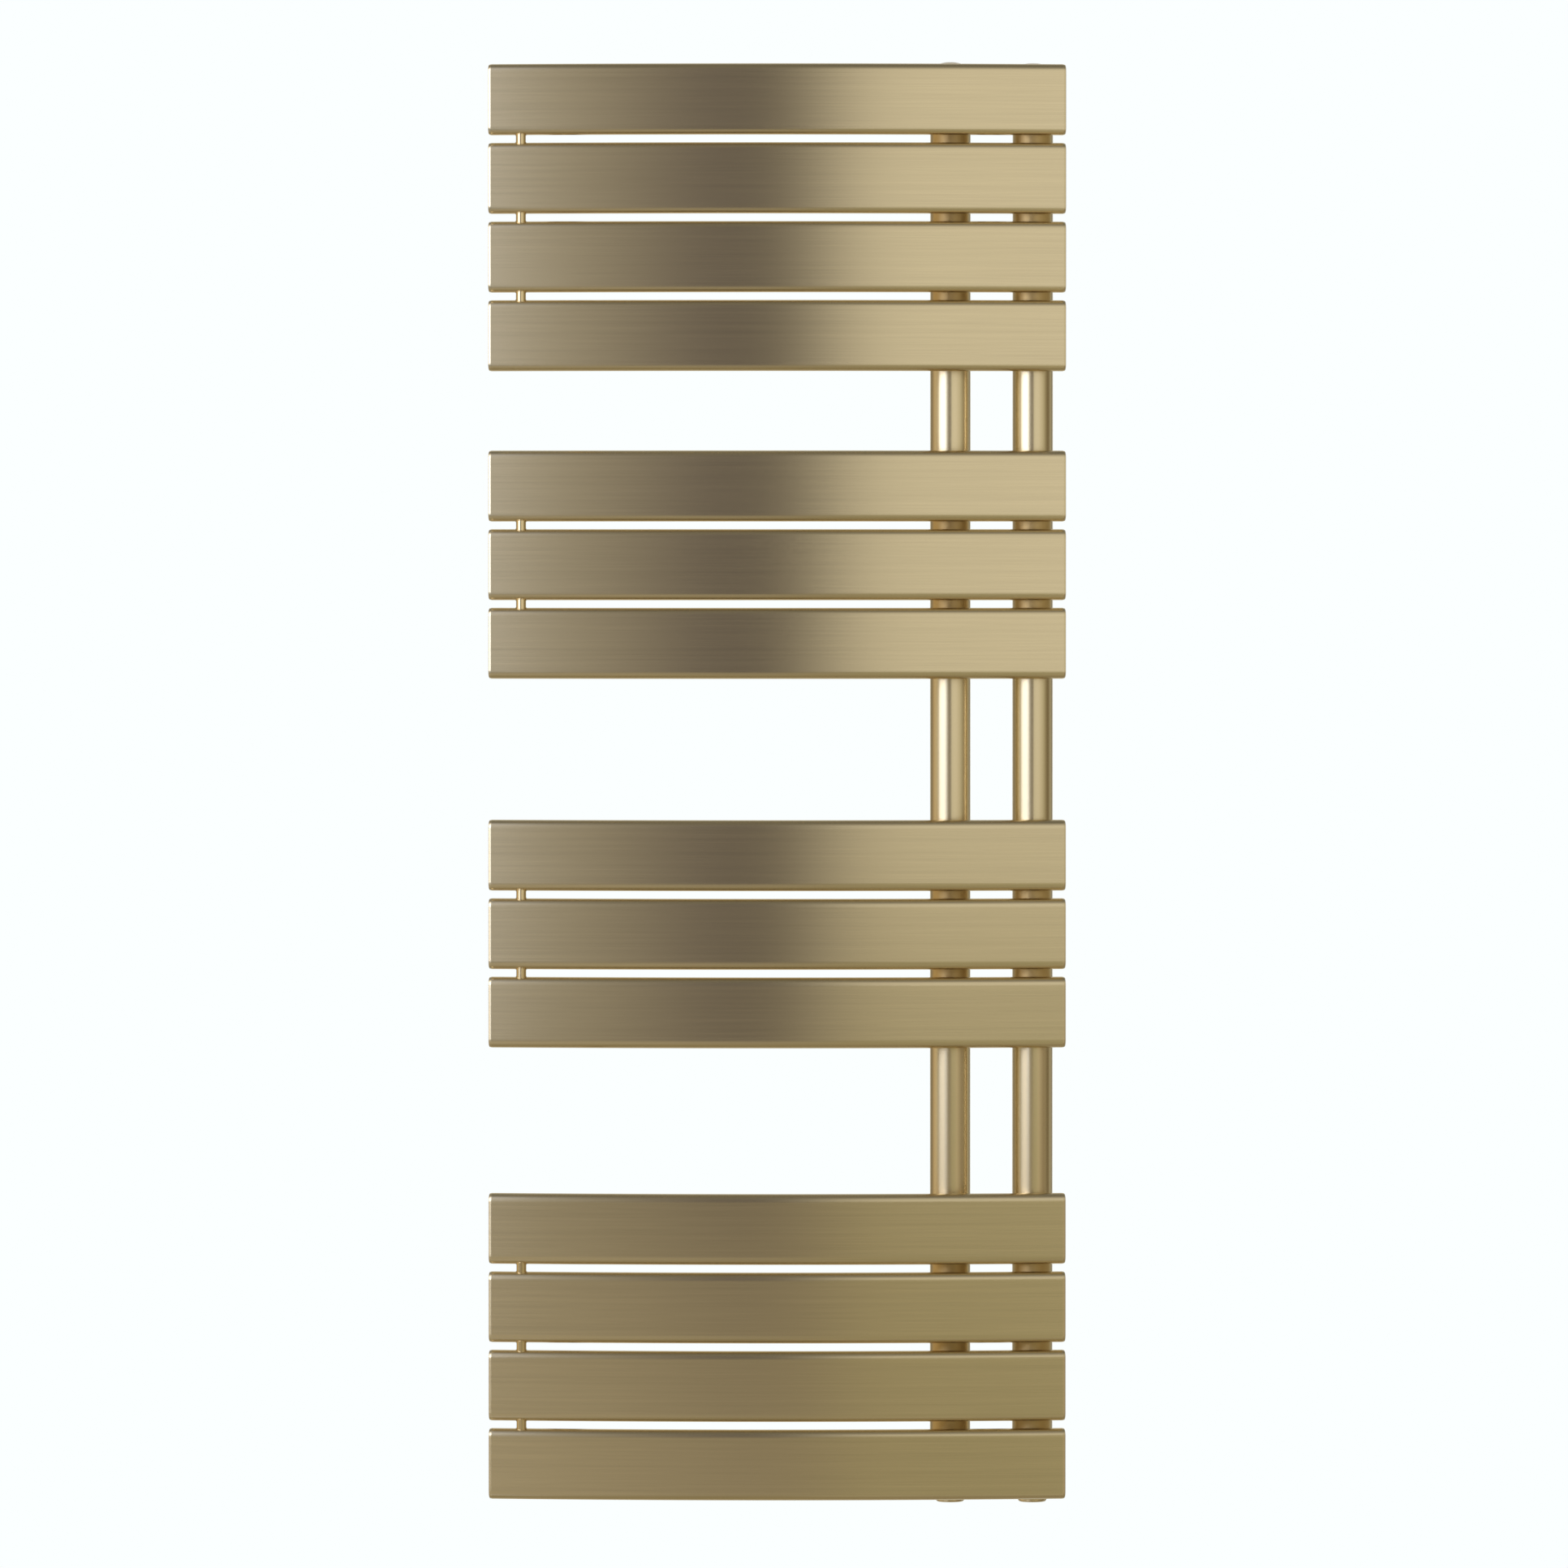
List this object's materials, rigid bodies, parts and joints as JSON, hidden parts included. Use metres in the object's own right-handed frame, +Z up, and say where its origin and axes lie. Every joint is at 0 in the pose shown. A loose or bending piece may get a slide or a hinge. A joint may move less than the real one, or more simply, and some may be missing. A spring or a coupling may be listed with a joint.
{
  "type": "towel radiator",
  "caption": "Wall-hung curved flat-bar towel radiator in brushed brass, open at one side, on two round upright collectors.",
  "frame": {"origin": "centre of the four wall fixings, on the wall plane; it is also the middle of the stack of bars", "axes": "+Z up along the collectors, +X to the right as seen from the room, -Y towards the room; the wall is the plane Y = 0"},
  "size_m": [0.4996, 0.112, 1.2494],
  "materials": {
    "brushed_brass": "brushed along the bar, soft satin",
    "satin_brass": "satin polished",
    "turned_brass": "turned and satin polished",
    "vent_screw_steel": "nickel plated",
    "divider_steel": "plain mill finish",
    "lock_screw_steel": "plain stainless",
    "seal_rubber": "matt"
  },
  "bodies": {
    "wall_side": {"wall_cups": "satin_brass"},
    "radiator": {"bar_01": "brushed_brass", "bar_02": "brushed_brass", "bar_03": "brushed_brass", "bar_04": "brushed_brass", "bar_05": "brushed_brass", "bar_06": "brushed_brass", "bar_07": "brushed_brass", "bar_08": "brushed_brass", "bar_09": "brushed_brass", "bar_10": "brushed_brass", "bar_11": "brushed_brass", "bar_12": "brushed_brass", "bar_13": "brushed_brass", "bar_14": "brushed_brass", "bar_end_caps_left": "brushed_brass", "bar_end_caps_right": "brushed_brass", "bar_flow_dividers": "divider_steel", "supply_nipples": "satin_brass", "return_nipples": "satin_brass", "supply_collector": "satin_brass", "return_collector": "satin_brass", "supply_top_boss": "satin_brass", "return_top_boss": "satin_brass", "supply_bottom_boss": "satin_brass", "return_bottom_boss": "satin_brass", "blanking_plug": "turned_brass", "blanking_plug_o_ring": "seal_rubber", "vent_plug": "turned_brass", "vent_plug_o_ring": "seal_rubber", "spacer_pins_group_1": "satin_brass", "spacer_pins_group_2": "satin_brass", "spacer_pins_group_3": "satin_brass", "spacer_pins_group_4": "satin_brass", "bracket_posts": "satin_brass"},
    "vent_screw": {"vent_screw": "vent_screw_steel"},
    "lock_screw_upper_left": {"lock_screw_upper_left": "lock_screw_steel"},
    "lock_screw_upper_right": {"lock_screw_upper_right": "lock_screw_steel"},
    "lock_screw_lower_left": {"lock_screw_lower_left": "lock_screw_steel"},
    "lock_screw_lower_right": {"lock_screw_lower_right": "lock_screw_steel"}
  },
  "joints": [
    {"name": "standoff_adjust", "type": "slide", "parent": "wall_side", "child": "radiator", "axis": [0, -1, 0], "range_m": [-0.008, 0.012]},
    {"name": "vent_screw_turn", "type": "hinge", "parent": "radiator", "child": "vent_screw", "pos_m": [0.2217, -0.064, 0.62], "axis": [0, 0, 1], "range_deg": [0, 270]},
    {"name": "lock_screw_upper_left_turn", "type": "hinge", "parent": "wall_side", "child": "lock_screw_upper_left", "pos_m": [-0.186, -0.038, 0.5092], "axis": [0, 0, -1], "range_deg": [0, 450]},
    {"name": "lock_screw_upper_right_turn", "type": "hinge", "parent": "wall_side", "child": "lock_screw_upper_right", "pos_m": [0.186, -0.038, 0.5092], "axis": [0, 0, -1], "range_deg": [0, 450]},
    {"name": "lock_screw_lower_left_turn", "type": "hinge", "parent": "wall_side", "child": "lock_screw_lower_left", "pos_m": [-0.186, -0.038, -0.5358], "axis": [0, 0, -1], "range_deg": [0, 450]},
    {"name": "lock_screw_lower_right_turn", "type": "hinge", "parent": "wall_side", "child": "lock_screw_lower_right", "pos_m": [0.186, -0.038, -0.5358], "axis": [0, 0, -1], "range_deg": [0, 450]}
  ]
}
